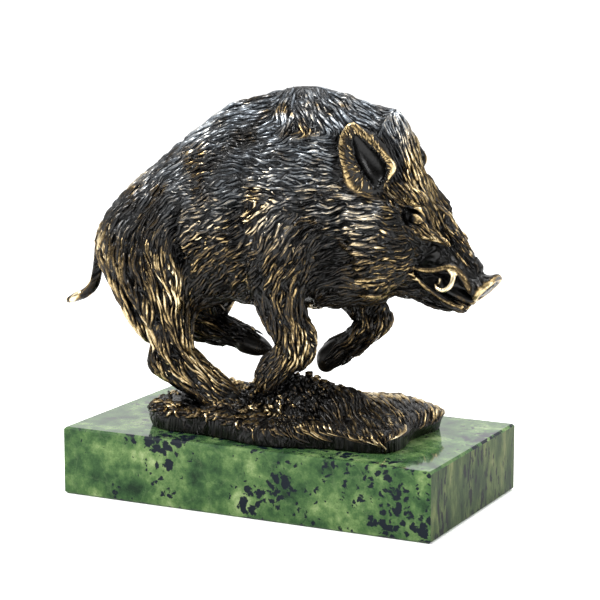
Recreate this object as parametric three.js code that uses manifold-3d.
// A bronze figure of a running wild boar on a rough bronze ground, standing on a slab of green stone.
// Millimetres, +Z up, +X the way the boar runs, origin in the middle of the slab's underside.
import * as THREE from "three";
import { mergeVertices } from "three/addons/utils/BufferGeometryUtils.js";
import Module from "manifold-3d";

// Driving dimensions of the stone slab
const plinthLength = 145;
const plinthWidth = 78;
const plinthHeight = 25;
const plinthChamfer = 0.8;

// Driving dimensions of the casting
const bedGap = 0.3; // bed of adhesive between stone and bronze
const groundThickness = 7;
const groundLength = 96;
const groundWidth = 61;
const boarLength = 172; // from the tip of the tail to the snout

// Driving dimensions of the carved locks of hair
const lockLength = 16;
const lockWidth = 6;
const lockHeight = 1.1;
const lockSpacing = 7.5;
const leastLockSize = 0.75; // shares of the dimensions above, which vary from lock to lock
const mostLockSize = 1.25;

const bronzeTriangles = 9000;

const wasm = await Module();
wasm.setup();

const bronzeUnderside = plinthHeight + bedGap;
const groundTop = bronzeUnderside + groundThickness;

// The animal's pose and proportions are shares of its own length, so its forms below are drawn in parts of
// that length. The ground's top lies at a level of the drawing, and the grid that samples it follows it.
const partsInBoar = 172;
const partSize = boarLength / partsInBoar;
const drawnGroundTop = 32.3;
const gridCell = 2 * partSize;
const toDrawing = (x, y, z) => [x / partSize, y / partSize, drawnGroundTop + (z - groundTop) / partSize];

const clamp = (value, low, high) => Math.min(high, Math.max(low, value));
const mix = (a, b, t) => a + (b - a) * t;
const dot = (a, b) => a[0] * b[0] + a[1] * b[1] + a[2] * b[2];
const distance = (a, b) => Math.hypot(a[0] - b[0], a[1] - b[1], a[2] - b[2]);
const sinOf = (degrees) => Math.sin(THREE.MathUtils.degToRad(degrees));
const cosOf = (degrees) => Math.cos(THREE.MathUtils.degToRad(degrees));
function unit(v) {
  const size = Math.hypot(...v) || 1;
  return v.map((value) => value / size);
}

// A field gives about the distance from a point to a form's skin, and is negative inside. Each form is a box
// that holds it and a function at(x, y, z).

// Smooth union: two skins flow into each other within the reach.
function melt(a, b, reach) {
  const h = Math.max(reach - Math.abs(a - b), 0) / reach;
  return Math.min(a, b) - (h * h * reach) / 4;
}

// Smooth cut: what is in the first form and outside the second.
function carve(a, b, reach) {
  return -melt(-a, b, reach);
}

// Distance from a point to a box given as its lowest and highest corner, 0 inside.
function boxDistance([low, high], x, y, z) {
  const dx = Math.max(low[0] - x, 0, x - high[0]);
  const dy = Math.max(low[1] - y, 0, y - high[1]);
  const dz = Math.max(low[2] - z, 0, z - high[2]);
  return Math.hypot(dx, dy, dz);
}

// Distance to an ellipsoid's skin, from the point's place along each of its axes and the radii there.
function roundDistance(x, y, z, radiusX, radiusY, radiusZ) {
  const u = x / radiusX;
  const v = y / radiusY;
  const w = z / radiusZ;
  const k = Math.sqrt(u * u + v * v + w * w);
  const slope = Math.sqrt((u / radiusX) ** 2 + (v / radiusY) ** 2 + (w / radiusZ) ** 2);
  return slope > 1e-9 ? (k * (k - 1)) / slope : -Math.min(radiusX, radiusY, radiusZ);
}

// An ellipsoid with its radii along its length, width and height. Pitch lowers its front end, in degrees.
function muscle(centre, radii, pitch = 0) {
  const reach = Math.max(...radii);
  const cos = cosOf(pitch);
  const sin = sinOf(pitch);
  return {
    box: [centre.map((c) => c - reach), centre.map((c) => c + reach)],
    at(x, y, z) {
      const dx = x - centre[0];
      const dz = z - centre[2];
      return roundDistance(dx * cos - dz * sin, y - centre[1], dx * sin + dz * cos, ...radii);
    },
  };
}

// Smooth curve through rows of numbers, a row at each whole t.
function throughRows(rows, t) {
  const i = clamp(Math.floor(t), 0, rows.length - 2);
  const f = t - i;
  const row = (j) => rows[clamp(j, 0, rows.length - 1)];
  const [before, start, end, after] = [row(i - 1), row(i), row(i + 1), row(i + 2)];
  return start.map((p1, c) => {
    const [p0, p2, p3] = [before[c], end[c], after[c]];
    const bend = (2 * p0 - 5 * p1 + 4 * p2 - p3) * f * f + (3 * p1 - p0 - 3 * p2 + p3) * f * f * f;
    return p1 + 0.5 * ((p2 - p0) * f + bend);
  });
}

const curveSteps = 4;
function smoothRows(rows) {
  const count = (rows.length - 1) * curveSteps;
  return Array.from({ length: count + 1 }, (_, i) => throughRows(rows, i / curveSteps));
}

// A limb through stations [x, y, z, radius]. It is flat times as wide from side to side as it is deep.
function limb(stations, flat = 1) {
  const rows = smoothRows(stations);
  const low = [0, 1, 2].map((c) => Math.min(...rows.map((r) => r[c] - r[3])));
  const high = [0, 1, 2].map((c) => Math.max(...rows.map((r) => r[c] + r[3])));
  return {
    box: [low, high],
    at(x, y, z) {
      let nearest = Infinity;
      for (let i = 0; i < rows.length - 1; i++) {
        const a = rows[i];
        const b = rows[i + 1];
        const ex = b[0] - a[0];
        const ey = b[1] - a[1];
        const ez = b[2] - a[2];
        const along = (x - a[0]) * ex + (y - a[1]) * ey + (z - a[2]) * ez;
        const t = clamp(along / (ex * ex + ey * ey + ez * ez), 0, 1);
        const dx = x - a[0] - t * ex;
        const dy = (y - a[1] - t * ey) / flat;
        const dz = z - a[2] - t * ez;
        nearest = Math.min(nearest, Math.sqrt(dx * dx + dy * dy + dz * dz) - mix(a[3], b[3], t));
      }
      return nearest * Math.min(flat, 1);
    },
  };
}

// A form drawn in side view along an axis that falls by the tilt. Its stations are
// [along, top line, widest level, bottom line, half width].
function sideForm([originX, originZ], tilt, stations) {
  const rows = smoothRows(stations);
  const wide = Math.max(...rows.map((r) => r[4]));
  const thin = 0.05;
  const cos = cosOf(tilt);
  const sin = sinOf(tilt);
  const edges = rows.flatMap(([s, top, , bottom]) => [[s, top], [s, bottom]]);
  const edgeX = edges.map(([s, t]) => originX + s * cos + t * sin);
  const edgeZ = edges.map(([s, t]) => originZ - s * sin + t * cos);
  return {
    box: [
      [Math.min(...edgeX), -wide, Math.min(...edgeZ)],
      [Math.max(...edgeX), wide, Math.max(...edgeZ)],
    ],
    at(x, y, z) {
      const s = (x - originX) * cos - (z - originZ) * sin;
      const t = (x - originX) * sin + (z - originZ) * cos;
      const held = clamp(s, rows[0][0], rows[rows.length - 1][0]);
      let i = 0;
      while (i < rows.length - 2 && rows[i + 1][0] < held) i++;
      const a = rows[i];
      const b = rows[i + 1];
      const f = (held - a[0]) / (b[0] - a[0]);
      const level = mix(a[2], b[2], f);
      const edge = t > level ? mix(a[1], b[1], f) : mix(a[3], b[3], f);
      const rise = Math.max(Math.abs(edge - level), thin);
      const half = Math.max(mix(a[4], b[4], f), thin);
      const across = roundDistance(t - level, y, 0, rise, half, 1);
      const beyond = Math.abs(s - held);
      return beyond > 0 ? Math.hypot(Math.max(across, 0), beyond) : across;
    },
  };
}

// The same form on the boar's other side.
function otherSide(form) {
  const [low, high] = form.box;
  return {
    box: [
      [low[0], -high[1], low[2]],
      [high[0], -low[1], high[2]],
    ],
    at: (x, y, z) => form.at(x, -y, z),
  };
}

// A form turned about an upright line through a pivot, in degrees.
function turned(form, [pivotX, pivotY], degrees) {
  const [low, high] = form.box;
  const reach = Math.max(high[0] - low[0], high[1] - low[1]);
  const cos = cosOf(degrees);
  const sin = sinOf(degrees);
  return {
    box: [
      [pivotX - reach, pivotY - reach, low[2]],
      [pivotX + reach, pivotY + reach, high[2]],
    ],
    at(x, y, z) {
      const dx = x - pivotX;
      const dy = y - pivotY;
      return form.at(pivotX + dx * cos + dy * sin, pivotY + dy * cos - dx * sin, z);
    },
  };
}

// The boar's forms, with x forward, z up and y away from its middle plane. The near side is its right.

// Ribs, hump and neck: along, back line, widest level, belly line, half width.
const trunk = sideForm([0, 0], 0, [
  [-79, 88.5, 88, 87.5, 0.5],
  [-77.5, 93, 87, 80, 6],
  [-72, 100, 88, 73, 11.5],
  [-60, 112.5, 91, 68, 16.5],
  [-45, 124.5, 95, 67, 19.5],
  [-26, 138, 99, 70.5, 22],
  [-8, 143.5, 101, 69.5, 23],
  [6, 147, 103, 70.5, 22.5],
  [20, 145, 104, 71, 20.5],
  [32, 141, 105, 73, 18],
  [41, 135, 106, 77, 15],
  [46, 124, 106, 86, 9],
  [48, 107, 106, 105, 0.5],
]);
const mane = limb(
  [
    [-20, 0, 137, 4.5],
    [-6, 0, 141.5, 4],
    [4, 0, 144.6, 4.2],
    [19, 0, 142, 4.6],
    [32, 0, 137.5, 4.6],
    [39, 0, 134, 6],
  ],
  0.8,
);

// Skull and muzzle on an axis at 45 degrees: along, forehead line, widest level, underside, half width.
const skullOrigin = [36, 122];
const skullTilt = 45;
const skull = sideForm(skullOrigin, skullTilt, [
  [-13, 3, 0, -3, 0.5],
  [-10, 12, 0, -14, 8],
  [0, 14.6, -2, -22, 11],
  [9, 12, -5, -26, 12.5],
  [18, 9, -6, -24, 12],
  [28, 6.2, -7, -21, 10],
  [37, 3.8, -4.5, -13, 7.5],
  [45, 2.9, -3.5, -9.2, 6.2],
  [51.5, 2.3, -2.5, -7.4, 5.6],
  [54.2, 3.4, -1.5, -6.6, 5.9],
  [55.5, 5.8, -0.4, -6.3, 6.4],
  [57.4, 5.6, -0.4, -6.1, 6.2],
  [58, 0.5, -0.4, -1, 0.5],
]);
const lowerJaw = limb([
  [46, 0, 85, 8.3],
  [55, 0, 80, 5.2],
  [61.5, 0, 76.4, 3.6],
  [67, 0, 75, 2.8],
]);
// The open mouth is a deep groove on each side that runs round the tongue to the front.
const mouth = limb([
  [55, -8, 87.4, 1.3],
  [60, -7, 83.8, 2.2],
  [65, -5.4, 81.4, 2.7],
  [70, -2.6, 79.2, 2.4],
  [73.5, 0, 77, 2.3],
]);
const cheek = muscle([42, -7.5, 98], [14, 10, 19], 28);
const ruff = limb(
  [
    [36, -10.5, 112, 5],
    [33.5, -12.5, 103, 6.5],
    [34, -12.5, 93, 7],
    [38, -9.5, 84, 6],
  ],
  0.75,
);
const brow = limb([
  [46, -10.5, 113, 3],
  [52, -10, 111, 2.8],
  [58, -7.8, 106.5, 2],
]);
const eyeSocket = muscle([54.2, -13.5, 106.8], [4, 4, 2.6], 35);
const eyeball = muscle([54, -9.6, 106.9], [2.4, 2.4, 2.2]);
const nostril = muscle([78.5, -2.6, 81.8], [2, 1.3, 1.8], 45);
const tusk = limb([
  [63.6, -5.6, 88, 1.3],
  [66.8, -7.6, 87, 1.3],
  [67.8, -8.4, 84.2, 1.3],
  [65.2, -8.4, 81.6, 1.3],
  [62, -7.4, 81, 1.3],
  [60.6, -5.6, 80.8, 1.3],
]);
const snoutRidge = limb(
  [
    [55, 0, 117.2, 2.2],
    [60, 0, 107, 2],
    [66, 0, 97, 1.8],
    [73, 0, 88.6, 1.6],
  ],
  1.3,
);

// A cupped ear that opens forwards and outwards
const earPivot = [39, -13];
const earTurn = 16;
const earShell = limb(
  [
    [40.2, -12.6, 113.5, 4.4],
    [38.8, -13.6, 119, 8],
    [36, -14.4, 126, 9.2],
    [32.6, -15.2, 133, 5.8],
    [30, -15.8, 139.6, 0.9],
  ],
  0.45,
);
const earCup = limb(
  [
    [40.4, -17, 114.6, 2.2],
    [39, -17.6, 120, 5.2],
    [36.4, -18.4, 126, 6.4],
    [33.4, -18.8, 132.2, 3.2],
  ],
  0.6,
);
const ear = turned(earShell, earPivot, earTurn);
const earHollow = turned(earCup, earPivot, earTurn);

// Shoulder, ribs and haunch swell on both sides.
const shoulderBlade = muscle([6, -13, 110], [15, 8.5, 25], -12);
const ribSwell = muscle([-17, -9, 100], [26, 13, 24]);
const haunch = muscle([-52.5, -9, 88], [18, 10.5, 21], 12);
const flank = muscle([-36, -9, 84], [15, 11.5, 16]);
const armpit = muscle([25, -18, 88], [9, 6.5, 12], -14);

// Legs from the body to the hoof
const nearHindLeg = limb(
  [
    [-52, -10, 84, 16.2],
    [-48.6, -11.5, 73, 14.6],
    [-45, -12.5, 63.5, 10],
    [-41.5, -13, 55, 6.9],
    [-41.5, -13, 49, 7],
    [-33, -12.7, 43.2, 6],
    [-26.5, -12.3, 39.3, 5.9],
    [-22, -12, 36.8, 5.6],
  ],
  0.85,
);
const nearHock = muscle([-47, -13, 48], [4.2, 4.2, 4.8]);
const nearHindHoof = limb([
  [-23, -12, 35.8, 5.6],
  [-18, -12, 34, 5],
  [-14.2, -12, 32.4, 3.2],
]);
const farHindLeg = limb(
  [
    [-48, 9.5, 84, 16],
    [-43, 11.5, 72, 12.5],
    [-47, 12.5, 61, 8],
    [-45, 13, 57, 6.2],
    [-37, 13, 55.3, 5.2],
    [-28, 13, 53.3, 4.7],
    [-25, 13, 52.4, 4.6],
  ],
  0.85,
);
const farHindHoof = limb([
  [-24.5, 13, 51.6, 4.6],
  [-20, 13, 50.4, 3.9],
  [-15.6, 13, 49.7, 1.7],
]);
const nearForeLeg = limb(
  [
    [6, -14, 96, 12.5],
    [2.5, -15.2, 85, 11],
    [3.6, -15.4, 75, 8.2],
    [6.6, -15.2, 66, 6.6],
    [10.6, -15, 59, 6.2],
    [8.4, -15, 54.6, 5.7],
    [4.4, -15, 51.2, 5.3],
  ],
  0.85,
);
const nearForeHoof = limb([
  [3.6, -15, 50.6, 5.4],
  [0.8, -15, 47.6, 5.5],
  [-0.4, -15, 45.4, 4.8],
]);
const farForeLeg = limb(
  [
    [16, 11, 90, 11],
    [20, 12.8, 77, 8.8],
    [24.5, 13, 69.8, 6.6],
    [28.8, 13, 64.8, 5.5],
    [24.5, 13, 59.5, 4.8],
    [18, 13, 55, 4.5],
    [13.6, 13, 52, 4.4],
  ],
  0.85,
);
const farForeHoof = limb([
  [13, 13, 51.6, 4.6],
  [9.6, 13, 48.8, 4.6],
  [8.4, 13, 46.4, 3.4],
]);
const tail = limb([
  [-76, 0, 93, 3],
  [-78.8, -1, 87, 2.4],
  [-80, -1.5, 79, 2],
  [-81.4, -2, 72, 2],
  [-85, -2, 68, 1.9],
  [-89.6, -2, 65.8, 1.8],
  [-93, -2, 64.3, 1.2],
]);

// What is joined, what is then cut away and what stands in the cuts, each with the reach of its blend
const animalForms = [
  [trunk, 1],
  [mane, 4],
  [ribSwell, 7],
  [otherSide(ribSwell), 7],
  [shoulderBlade, 5],
  [otherSide(shoulderBlade), 5],
  [haunch, 6],
  [otherSide(haunch), 6],
  [flank, 7],
  [otherSide(flank), 7],
  [skull, 6],
  [cheek, 4],
  [otherSide(cheek), 4],
  [ruff, 2],
  [otherSide(ruff), 2],
  [lowerJaw, 3],
  [snoutRidge, 2],
  [brow, 2],
  [otherSide(brow), 2],
  [nearHindLeg, 4],
  [nearHock, 3],
  [nearHindHoof, 1],
  [farHindLeg, 4],
  [farHindHoof, 1],
  [nearForeLeg, 3],
  [nearForeHoof, 1],
  [farForeLeg, 4],
  [farForeHoof, 1],
  [tail, 1.2],
  [ear, 1.5],
  [otherSide(ear), 1.5],
];
const animalHollows = [
  [mouth, 0.8],
  [otherSide(mouth), 0.8],
  [earHollow, 1],
  [otherSide(earHollow), 1],
  [armpit, 4],
  [otherSide(armpit), 4],
  [eyeSocket, 1.5],
  [otherSide(eyeSocket), 1.5],
  [nostril, 0.5],
  [otherSide(nostril), 0.5],
];
const animalTrims = [
  [eyeball, 0.3],
  [otherSide(eyeball), 0.3],
  [tusk, 0.4],
  [otherSide(tusk), 0.4],
];

function joinForms(start, list, x, y, z) {
  let d = start;
  for (const [form, reach] of list) {
    if (boxDistance(form.box, x, y, z) > d + reach) continue;
    d = melt(d, form.at(x, y, z), reach);
  }
  return d;
}
function cutForms(start, list, x, y, z) {
  let d = start;
  for (const [form, reach] of list) {
    if (boxDistance(form.box, x, y, z) > reach - d) continue;
    d = carve(d, form.at(x, y, z), reach);
  }
  return d;
}

const farAway = 1e3;
function animal(x, y, z) {
  const place = toDrawing(x, y, z);
  const body = joinForms(farAway, animalForms, ...place);
  return partSize * joinForms(cutForms(body, animalHollows, ...place), animalTrims, ...place);
}

// The rough ground under the hooves: a flat cake with a wavy outline and top, heaped up in the middle. The
// heaps stay under the hooves, so they are drawn in the same parts as the animal.
const groundCentre = [0.5, -0.3];
const groundEdge = 2.2;
const outlineWaves = [0.05, 0.04]; // shares of the half width
const outlineRuns = [7, 6, 11];
const topWaves = [0.9, 0.6];
const topRuns = [6.5, 7.5, 4.3, 9];
const groundHeaps = [
  muscle([9, -7, drawnGroundTop + 2], [13, 12, 11]),
  muscle([22, -3, drawnGroundTop + 1], [9, 12, 8]),
  muscle([-8, -2, drawnGroundTop], [12, 12, 8.5]),
  muscle([-16, -10, drawnGroundTop - 1], [12, 10, 5]),
  muscle([-40, -15, drawnGroundTop - 3], [8, 10, 5]),
  muscle([36, 8, drawnGroundTop - 1], [18, 18, 4.5], 4),
];
const heapReach = 4;
const groundTrim = 1.5; // is cut off again, so that the underside is flat
function ground(x, y, z) {
  const aside = (y - groundCentre[1]) / (groundWidth / 2);
  const along = (x - groundCentre[0]) / (groundLength / 2);
  const [alongRun, asideRun, slantRun] = outlineRuns;
  const broadWave = outlineWaves[0] * Math.sin(x / alongRun + 1);
  const wave = broadWave + outlineWaves[1] * Math.sin(y / asideRun + x / slantRun);
  const outline = ((along ** 4 + aside ** 4) ** 0.25 - 1 - wave) * (groundWidth / 2);
  const [longRun, wideRun, shortRun, crossRun] = topRuns;
  const broadSwell = topWaves[0] * Math.sin(x / longRun + 0.8) * Math.cos(y / wideRun);
  const swell = broadSwell + topWaves[1] * Math.sin(y / shortRun + x / crossRun);
  let d = carve(outline, groundTop + swell - z, groundEdge);
  const place = toDrawing(x, y, z);
  for (const heap of groundHeaps) d = melt(d, partSize * heap.at(...place), heapReach);
  return Math.max(d, bronzeUnderside - groundTrim - z);
}

const hoofReach = 2;
function casting(x, y, z) {
  return melt(animal(x, y, z), ground(x, y, z), hoofReach);
}

// Turns a field into a closed skin. Each cube of the grid is six tetrahedra, and each tetrahedron that the
// skin crosses gives one or two triangles. Blocks of cubes that are far from the skin are skipped.
const blockCells = 5;
const steepest = 1.3; // a field grows by at most this much a millimetre
const leastShare = 0.06; // keeps each crossing off the grid's own points, so that no edge is tiny
function skinOf(field, low, high, cell) {
  const n = low.map((l, c) => blockCells * Math.ceil((high[c] - l) / (cell * blockCells)) + 1);
  const index = (i, j, k) => (k * n[1] + j) * n[0] + i;
  const values = new Float64Array(n[0] * n[1] * n[2]);
  const place = (i, j, k) => [low[0] + cell * i, low[1] + cell * j, low[2] + cell * k];
  const leastValue = leastShare * cell;
  const blockReach = steepest * cell * blockCells;
  const cubes = [];
  function eachIn(count, step, visit) {
    for (let k = 0; k < count[2]; k += step) {
      for (let j = 0; j < count[1]; j += step) {
        for (let i = 0; i < count[0]; i += step) visit(i, j, k);
      }
    }
  }
  const block = [blockCells, blockCells, blockCells];
  const half = blockCells / 2;
  eachIn(n.map((count) => count - 1), blockCells, (i, j, k) => {
    if (Math.abs(field(...place(i + half, j + half, k + half))) > blockReach) return;
    eachIn(block.map((count) => count + 1), 1, (a, b, c) => {
      const id = index(i + a, j + b, k + c);
      if (values[id] !== 0) return;
      const d = field(...place(i + a, j + b, k + c));
      values[id] = Math.abs(d) < leastValue ? (d < 0 ? -leastValue : leastValue) : d;
    });
    eachIn(block, 1, (a, b, c) => cubes.push([i + a, j + b, k + c]));
  });
  const points = [];
  const faces = [];
  const known = new Map();
  function crossing([idA, a], [idB, b]) {
    const key = idA < idB ? idA * values.length + idB : idB * values.length + idA;
    if (!known.has(key)) {
      const t = values[idA] / (values[idA] - values[idB]);
      const end = place(...b);
      points.push(place(...a).map((value, c) => mix(value, end[c], t)));
      known.set(key, points.length - 1);
    }
    return known.get(key);
  }
  // The six walks along a cube's edges from its lowest corner to its highest, with the hand of each.
  const walks = [
    [[0, 1, 2], true],
    [[1, 2, 0], true],
    [[2, 0, 1], true],
    [[0, 2, 1], false],
    [[2, 1, 0], false],
    [[1, 0, 2], false],
  ];
  for (const cube of cubes) {
    for (const [axes, rightHanded] of walks) {
      const corner = [...cube];
      const corners = [[index(...corner), [...corner]]];
      for (const axis of axes) {
        corner[axis] += 1;
        corners.push([index(...corner), [...corner]]);
      }
      const inside = [0, 1, 2, 3].filter((c) => values[corners[c][0]] < 0);
      if (inside.length === 0 || inside.length === 4) continue;
      const order = [...inside, ...[0, 1, 2, 3].filter((c) => values[corners[c][0]] >= 0)];
      // An odd number of swaps in the order of the corners turns the faces over.
      let swaps = 0;
      for (let a = 0; a < 4; a++) {
        for (let b = a + 1; b < 4; b++) swaps += order[a] > order[b] ? 1 : 0;
      }
      const [a, b, c, d] = order.map((o) => corners[o]);
      let polygon;
      if (inside.length === 1) polygon = [crossing(a, b), crossing(a, c), crossing(a, d)];
      if (inside.length === 2) polygon = [crossing(a, c), crossing(a, d), crossing(b, d), crossing(b, c)];
      if (inside.length === 3) polygon = [crossing(a, d), crossing(b, d), crossing(c, d)];
      if ((swaps % 2 === 0) !== rightHanded) polygon.reverse();
      for (let v = 2; v < polygon.length; v++) faces.push([polygon[0], polygon[v - 1], polygon[v]]);
    }
  }
  return { points, faces };
}

// A closed geometry as a solid that can be cut, and a solid as points and faces.
const mergeReach = 1e-3;
function solidFrom(geometry) {
  const bare = geometry.clone();
  bare.deleteAttribute("normal");
  bare.deleteAttribute("uv");
  const merged = mergeVertices(bare, mergeReach);
  const vertProperties = new Float32Array(merged.getAttribute("position").array);
  const triVerts = new Uint32Array(merged.index.array);
  return new wasm.Manifold(new wasm.Mesh({ numProp: 3, vertProperties, triVerts }));
}
function skinFrom(solid) {
  const { vertProperties, triVerts, numProp } = solid.getMesh();
  const points = [];
  const faces = [];
  for (let i = 0; i < vertProperties.length; i += numProp) points.push([...vertProperties.slice(i, i + 3)]);
  for (let i = 0; i < triVerts.length; i += 3) faces.push([...triVerts.slice(i, i + 3)]);
  return { points, faces };
}
function geometryOf({ points, faces }) {
  return new THREE.BufferGeometry()
    .setAttribute("position", new THREE.Float32BufferAttribute(points.flat(), 3))
    .setIndex(faces.flat());
}

// Which way the hair lies in side view: [x, z, forward, up] at places on the modelled animal.
const hairGuides = [
  // back and ribs
  [-10, 142, -1, -0.15],
  [-35, 130, -1, -0.5],
  [-60, 108, -1, -1],
  [-74, 92, -0.2, -1],
  [-5, 125, -1, 0.05],
  [-30, 112, -1, -0.3],
  [-50, 104, -0.6, -0.8],
  [-12, 105, -1, -0.3],
  [-30, 92, -0.9, -0.5],
  [-22, 78, -0.7, -0.7],
  [-5, 88, -0.8, -0.4],
  // mane and neck
  [6, 145, 0.4, -1],
  [18, 140, 0.8, -1],
  [32, 136, 1, -0.7],
  [20, 128, -1, 0.15],
  [8, 118, -1, 0.05],
  [22, 112, -1, -0.05],
  [24, 92, -0.9, -0.3],
  [30, 78, -0.8, -0.1],
  // head
  [46, 134, -0.5, 1],
  [52, 118, -0.5, 0.9],
  [62, 100, -0.6, 0.7],
  [70, 90, -0.7, 0.6],
  [42, 104, -1, -0.05],
  [40, 90, -1, -0.3],
  [52, 86, -0.9, 0.1],
  // haunch and hind legs
  [-66, 82, 0.1, -1],
  [-55, 90, 0, -1],
  [-42, 84, 0.4, -1],
  [-58, 70, 0.6, -1],
  [-44, 66, 0.1, -1],
  [-41, 52, 0.3, -1],
  [-32, 43, 1, -0.7],
  [-22, 37, 1, -0.5],
  // shoulder and forelegs
  [6, 98, -0.5, -0.9],
  [2, 84, -0.1, -1],
  [5, 70, 0.4, -1],
  [11, 59, 0, -1],
  [4, 51, -0.7, -0.7],
  [24, 70, 0.5, -0.9],
  [24, 60, -0.7, -0.7],
];
const guideReach = 4.5;
function hairDirection(x, z) {
  let forward = 0;
  let up = 0;
  for (const [guideX, guideZ, toFront, toTop] of hairGuides) {
    const nearness = ((x - guideX) ** 2 + (z - guideZ) ** 2 + guideReach ** 2) ** -2;
    const pull = nearness / Math.hypot(toFront, toTop);
    forward += pull * toFront;
    up += pull * toTop;
  }
  return [forward, 0, up];
}

// Hooves, snout, ears, tail and mouth carry no locks. The ground carries blades of grass, made as locks are.
const bareForms = [nearHindHoof, farHindHoof, nearForeHoof, farForeHoof, ear, otherSide(ear), mouth, tail];
const bareMargin = 2;
const bareSnout = 64;
const grassMargin = 0.5;
const grassShare = 0.8;
const grassDirection = [0.8, -0.6, -0.2];
function coatAt(point) {
  const aboveGround = ground(...point);
  if (aboveGround < grassMargin) return grassShare;
  const place = toDrawing(...point);
  if (place[0] > bareSnout || aboveGround < bareMargin) return 0;
  const isNear = (form) => boxDistance(form.box, ...place) === 0 && form.at(...place) < bareMargin;
  return bareForms.some(isNear) ? 0 : 1;
}

// A repeatable stream of numbers from 0 to 1
function numbersFrom(seed) {
  let state = seed;
  return () => {
    state = (state * 1664525 + 1013904223) % 2 ** 32;
    return state / 2 ** 32;
  };
}

// Finds what lies near a point, by the cubes of space around it.
function placeFinder(size) {
  const cubes = new Map();
  const cubeOf = (point) => point.map((value) => Math.floor(value / size));
  return {
    add(point, item) {
      const key = cubeOf(point).join();
      if (!cubes.has(key)) cubes.set(key, []);
      cubes.get(key).push(item);
    },
    near(point) {
      const [i, j, k] = cubeOf(point);
      const found = [];
      for (const a of [i - 1, i, i + 1]) {
        for (const b of [j - 1, j, j + 1]) {
          for (const c of [k - 1, k, k + 1]) found.push(...(cubes.get([a, b, c].join()) ?? []));
        }
      }
      return found;
    },
  };
}

// Locks are raised on the skin. Each is combed from its root over the skin, narrows to its tip and ends there
// in a step, so that the locks look laid over each other. These are shares of its width, length and height.
const lockSteps = 8;
const lockRootWidth = 1.15;
const lockTaper = 0.6;
const lockCrest = 0.6;
const lockEnd = 0.12;
const lockSink = 0.4;
function raiseLocks({ points, faces }) {
  const normals = points.map(() => [0, 0, 0]);
  for (const face of faces) {
    const normal = crossProduct(...face.map((i) => points[i]));
    for (const i of face) normals[i] = normals[i].map((value, c) => value + normal[c]);
  }
  const ups = normals.map(unit);
  const finder = placeFinder(lockWidth);
  points.forEach((point, i) => finder.add(point, i));
  const coat = points.map(coatAt);
  const next = numbersFrom(7);
  const order = points.map((_, i) => [next(), i]).sort((a, b) => a[0] - b[0]);
  const rootFinder = placeFinder(lockSpacing);
  const roots = [];
  for (const [, i] of order) {
    const point = points[i];
    const isTaken = rootFinder.near(point).some((root) => distance(root, point) < lockSpacing);
    if (coat[i] === 0 || isTaken) continue;
    rootFinder.add(point, point);
    roots.push(point);
  }
  const heights = new Float64Array(points.length);
  for (const root of roots) {
    const size = mix(leastLockSize, mostLockSize, next());
    let start = root;
    for (let s = 0; s < lockSteps; s++) {
      const close = finder.near(start);
      if (close.length === 0) break;
      const at = close.reduce((a, b) => (distance(points[a], start) < distance(points[b], start) ? a : b));
      const up = ups[at];
      const [x, , z] = toDrawing(...start);
      const hair = coat[at] === grassShare ? grassDirection : hairDirection(x, z);
      const lift = dot(hair, up);
      const along = unit(hair.map((value, c) => value - lift * up[c]));
      const length = (size * lockLength) / lockSteps;
      const [ax, ay, az] = along;
      for (const i of close) {
        const dx = points[i][0] - start[0];
        const dy = points[i][1] - start[1];
        const dz = points[i][2] - start[2];
        const ahead = clamp(dx * ax + dy * ay + dz * az, 0, length);
        const away = Math.sqrt((dx - ahead * ax) ** 2 + (dy - ahead * ay) ** 2 + (dz - ahead * az) ** 2);
        const share = (s + ahead / length) / lockSteps;
        const half = (lockWidth / 2) * size * (lockRootWidth - lockTaper * share);
        if (away > half) continue;
        const rise = Math.min(1, share / lockCrest) * Math.min(1, (1 - share) / lockEnd);
        heights[i] = Math.max(heights[i], lockHeight * size * rise * (1 - (away / half) ** 2));
      }
      const ahead = start.map((value, c) => value + length * along[c]);
      const off = dot(ahead.map((value, c) => value - points[at][c]), up);
      start = ahead.map((value, c) => value - off * up[c]);
    }
  }
  const raised = points.map((point, i) => {
    const rise = coat[i] * (heights[i] - lockSink * lockHeight);
    return point.map((value, c) => value + rise * ups[i][c]);
  });
  return { points: raised, faces };
}

function crossProduct(a, b, c) {
  const [ux, uy, uz] = [b[0] - a[0], b[1] - a[1], b[2] - a[2]];
  const [vx, vy, vz] = [c[0] - a[0], c[1] - a[1], c[2] - a[2]];
  return [uy * vz - uz * vy, uz * vx - ux * vz, ux * vy - uy * vx];
}

// A queue that gives back the cheapest item first.
function cheapestFirst() {
  const heap = [];
  const swap = (i, j) => ([heap[i], heap[j]] = [heap[j], heap[i]]);
  return {
    size: () => heap.length,
    push(item) {
      let i = heap.push(item) - 1;
      while (i > 0 && heap[(i - 1) >> 1].cost > heap[i].cost) {
        swap(i, (i - 1) >> 1);
        i = (i - 1) >> 1;
      }
    },
    pop() {
      swap(0, heap.length - 1);
      const top = heap.pop();
      let i = 0;
      for (;;) {
        let least = i;
        for (const child of [2 * i + 1, 2 * i + 2]) {
          if (child < heap.length && heap[child].cost < heap[least].cost) least = child;
        }
        if (least === i) return top;
        swap(i, least);
        i = least;
      }
    },
  };
}

// The summed squared distance of a place to the planes in a quadric: the upper half of a 4 by 4 matrix.
function quadricCost(q, [x, y, z]) {
  const squares = q[0] * x * x + q[4] * y * y + q[7] * z * z + q[9];
  const products = q[1] * x * y + q[2] * x * z + q[5] * y * z + q[3] * x + q[6] * y + q[8] * z;
  return squares + 2 * products;
}

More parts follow.
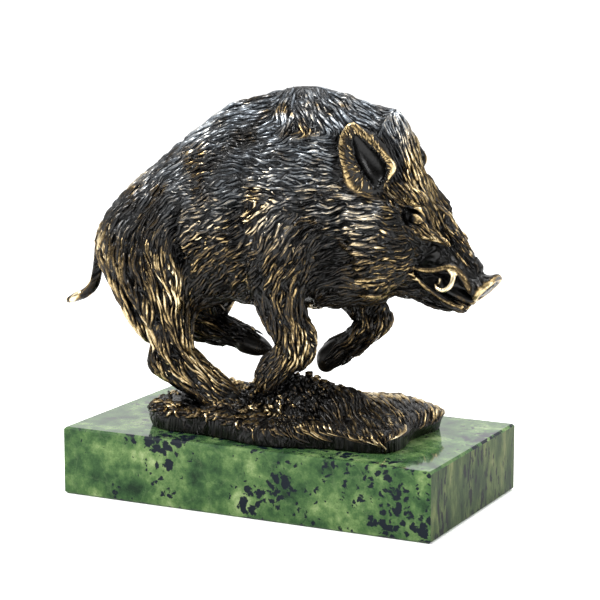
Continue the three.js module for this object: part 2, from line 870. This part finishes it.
// The end, the middle or the place of least cost, for an edge that becomes one point.
const leastDeterminant = 1e-3;
function bestPlace(q, a, b) {
  const middle = a.map((value, c) => (value + b[c]) / 2);
  const choices = [middle, a, b];
  const k0 = q[4] * q[7] - q[5] * q[5];
  const k1 = q[2] * q[5] - q[1] * q[7];
  const k2 = q[1] * q[5] - q[2] * q[4];
  const k3 = q[0] * q[7] - q[2] * q[2];
  const k4 = q[1] * q[2] - q[0] * q[5];
  const k5 = q[0] * q[4] - q[1] * q[1];
  const det = q[0] * k0 + q[1] * k1 + q[2] * k2;
  if (Math.abs(det) > leastDeterminant) {
    const best = [
      -(k0 * q[3] + k1 * q[6] + k2 * q[8]) / det,
      -(k1 * q[3] + k3 * q[6] + k4 * q[8]) / det,
      -(k2 * q[3] + k4 * q[6] + k5 * q[8]) / det,
    ];
    if (distance(best, middle) < distance(a, b)) choices.push(best);
  }
  return choices.reduce((least, place) => (quadricCost(q, place) < quadricCost(q, least) ? place : least));
}

// Joins edges, the cheapest first, until the skin has the wanted number of triangles. Points on the flat
// underside stay on it.
const leastTurn = 0.3;
const leastShape = 0.06;
const lengthCost = 1e-4;
const tiny = 1e-3;
function simplified({ points, faces }, wanted, underside) {
  const blank = (place) => ({ place, quadric: new Float64Array(10), faces: new Set(), changes: 0 });
  const vertices = points.map(blank);
  const alive = new Set(faces.map((face) => face.map((i) => vertices[i])));
  const isFlat = (vertex) => Math.abs(vertex.place[2] - underside) < tiny;
  for (const face of alive) {
    const normal = crossProduct(...face.map((vertex) => vertex.place));
    const area = Math.hypot(...normal);
    const [a, b, c] = unit(normal);
    const d = -dot([a, b, c], face[0].place);
    const plane = [a * a, a * b, a * c, a * d, b * b, b * c, b * d, c * c, c * d, d * d];
    for (const vertex of face) {
      vertex.faces.add(face);
      plane.forEach((value, i) => (vertex.quadric[i] += value * area));
    }
  }
  const queue = cheapestFirst();
  function offer(a, b) {
    const quadric = a.quadric.map((value, i) => value + b.quadric[i]);
    const place = [...bestPlace(quadric, a.place, b.place)];
    if (isFlat(a) || isFlat(b)) place[2] = underside;
    const cost = quadricCost(quadric, place) + lengthCost * distance(a.place, b.place) ** 3;
    queue.push({ cost, a, b, quadric, place, changes: a.changes + b.changes });
  }
  function neighbours(vertex) {
    const found = new Set();
    for (const face of vertex.faces) {
      for (const other of face) if (other !== vertex) found.add(other);
    }
    return found;
  }
  // Whether a face would turn over or become a sliver if a vertex of it moved
  function spoils(face, vertex, place) {
    const before = unit(crossProduct(...face.map((v) => v.place)));
    const moved = face.map((v) => (v === vertex ? place : v.place));
    const after = crossProduct(...moved);
    const longest = Math.max(...moved.map((p, i) => distance(p, moved[(i + 1) % 3])));
    return dot(before, unit(after)) < leastTurn || Math.hypot(...after) < leastShape * longest ** 2;
  }
  vertices.forEach((vertex, i) => (vertex.number = i));
  for (const face of alive) {
    face.forEach((a, i) => {
      const b = face[(i + 1) % 3];
      if (a.number < b.number) offer(a, b);
    });
  }
  while (alive.size > wanted && queue.size() > 0) {
    const { a, b, quadric, place, changes } = queue.pop();
    if (a.gone || b.gone || changes !== a.changes + b.changes) continue;
    const around = neighbours(a);
    if ([...neighbours(b)].filter((vertex) => around.has(vertex)).length !== 2) continue;
    const shared = [...a.faces].filter((face) => b.faces.has(face));
    const kept = (vertex) => [...vertex.faces].filter((face) => !shared.includes(face));
    if ([a, b].some((vertex) => kept(vertex).some((face) => spoils(face, vertex, place)))) continue;
    for (const face of shared) {
      alive.delete(face);
      for (const vertex of face) vertex.faces.delete(face);
    }
    for (const face of b.faces) {
      face[face.indexOf(b)] = a;
      a.faces.add(face);
    }
    b.gone = true;
    a.place = place;
    a.quadric = quadric;
    a.changes += 1 + b.changes;
    for (const vertex of neighbours(a)) offer(a, vertex);
  }
  const left = vertices.filter((vertex) => !vertex.gone && vertex.faces.size > 0);
  left.forEach((vertex, i) => (vertex.number = i));
  return {
    points: left.map((vertex) => vertex.place),
    faces: [...alive].map((face) => face.map((vertex) => vertex.number)),
  };
}

// The casting: its skin with locks, cut flat underneath, then faceted. The grid's lowest corner is a whole
// number of cells from the middle of the ground's top.
const fieldMargin = 3;
const waveMargin = 4;
const wholeCells = (length) => gridCell * Math.ceil(length / gridCell);
function castingGeometry() {
  const boxes = animalForms.map(([form]) => form.box);
  const [tailEnd, nearSide] = [0, 1].map((c) => Math.min(...boxes.map(([low]) => low[c])));
  const [snoutEnd, farSide, highest] = [0, 1, 2].map((c) => Math.max(...boxes.map(([, high]) => high[c])));
  const wide = Math.max(farSide, -nearSide);
  const halfWidth = Math.max(groundWidth / 2 + waveMargin, wide * partSize) + fieldMargin;
  const back = Math.max(-tailEnd * partSize, groundLength / 2 + waveMargin) + fieldMargin;
  const front = Math.max(snoutEnd * partSize, groundLength / 2 + waveMargin) + fieldMargin;
  const top = groundTop + (highest - drawnGroundTop) * partSize + fieldMargin;
  const depth = groundThickness + fieldMargin;
  const low = [-wholeCells(back), -wholeCells(halfWidth), groundTop - wholeCells(depth)];
  const high = [front, halfWidth, top];
  const skin = skinOf(casting, low, high, gridCell);
  const haired = raiseLocks(skin);
  const whole = solidFrom(geometryOf(haired));
  const size = high.map((value, c) => 2 * (value - low[c]));
  const below = new THREE.BoxGeometry(...size).translate(0, 0, bronzeUnderside - size[2] / 2);
  const cut = skinFrom(whole.subtract(solidFrom(below)));
  return geometryOf(simplified(cut, bronzeTriangles, bronzeUnderside));
}

function plinthGeometry() {
  const halfLength = plinthLength / 2 - plinthChamfer;
  const halfWidth = plinthWidth / 2 - plinthChamfer;
  const outline = new THREE.Shape([
    new THREE.Vector2(-halfLength, -halfWidth),
    new THREE.Vector2(halfLength, -halfWidth),
    new THREE.Vector2(halfLength, halfWidth),
    new THREE.Vector2(-halfLength, halfWidth),
  ]);
  return new THREE.ExtrudeGeometry(outline, {
    depth: plinthHeight - 2 * plinthChamfer,
    bevelEnabled: true,
    bevelSegments: 1,
    bevelSize: plinthChamfer,
    bevelThickness: plinthChamfer,
  }).translate(0, 0, plinthChamfer);
}

const stone = new THREE.MeshStandardMaterial({ color: 0x4f7a4c, roughness: 0.12, metalness: 0 });
const bronze = new THREE.MeshStandardMaterial({ color: 0x3a3226, roughness: 0.38, metalness: 0.9 });

const boarOnPlinth = new THREE.Group();
const plinth = new THREE.Mesh(plinthGeometry(), stone);
plinth.name = "plinth";
boarOnPlinth.add(plinth);
const boarCasting = new THREE.Mesh(castingGeometry(), bronze);
boarCasting.name = "boar_casting";
boarOnPlinth.add(boarCasting);

export default boarOnPlinth;
